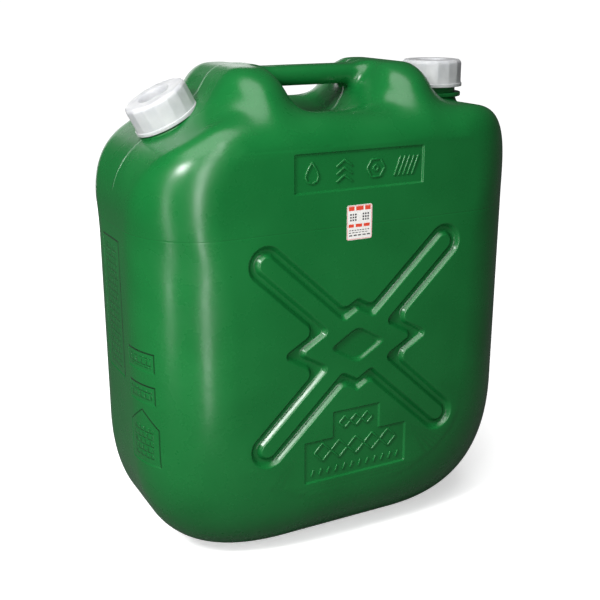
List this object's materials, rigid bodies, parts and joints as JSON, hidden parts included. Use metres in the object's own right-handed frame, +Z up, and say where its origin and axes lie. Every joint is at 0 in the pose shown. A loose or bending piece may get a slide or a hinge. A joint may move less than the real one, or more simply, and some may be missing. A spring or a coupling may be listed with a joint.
{
  "type": "gallon gas can",
  "caption": "Moulded plastic fuel can with a top handle bar between two humps, a slanted pouring neck and an upright air neck, each closed by a screw cap.",
  "frame": {"origin": "centre of the base, on the surface the can stands on", "axes": "+X along the wide side towards the air neck, -Y towards the front with the moulded cross, +Z up"},
  "size_m": [0.347, 0.1862, 0.41],
  "materials": {
    "can_plastic": "satin blow-moulded polyethylene",
    "cap_plastic": "milky moulded polyethylene",
    "gasket_rubber": "matt",
    "label_film": "printed film"
  },
  "bodies": {
    "can": {"can_body": "can_plastic", "handle_bar": "can_plastic", "main_neck": "can_plastic", "air_neck": "can_plastic", "inspection_label": "label_film"},
    "main_gasket": {"main_cap_gasket": "gasket_rubber"},
    "main_cap": {"main_cap": "cap_plastic"},
    "air_gasket": {"air_cap_gasket": "gasket_rubber"},
    "air_cap": {"air_cap": "cap_plastic"}
  },
  "joints": [
    {"name": "main_cap_rise", "type": "slide", "parent": "can", "child": "main_gasket", "axis": [-0.4695, 0, 0.8829], "range_m": [0, 0.00801]},
    {"name": "main_cap_turn", "type": "hinge", "parent": "main_gasket", "child": "main_cap", "pos_m": [-0.12376, 0, 0.36884], "axis": [-0.4695, 0, 0.8829], "range_deg": [0, 720]},
    {"name": "air_cap_rise", "type": "slide", "parent": "can", "child": "air_gasket", "axis": [0, 0, 1], "range_m": [0, 0.00801]},
    {"name": "air_cap_turn", "type": "hinge", "parent": "air_gasket", "child": "air_cap", "pos_m": [0.1277, 0, 0.3848], "axis": [0, 0, 1], "range_deg": [0, 720]}
  ],
  "couplings": [
    {"joint": "main_cap_rise", "follows": "main_cap_turn", "m_per_rad": 0.00063662},
    {"joint": "air_cap_rise", "follows": "air_cap_turn", "m_per_rad": 0.00063662}
  ]
}
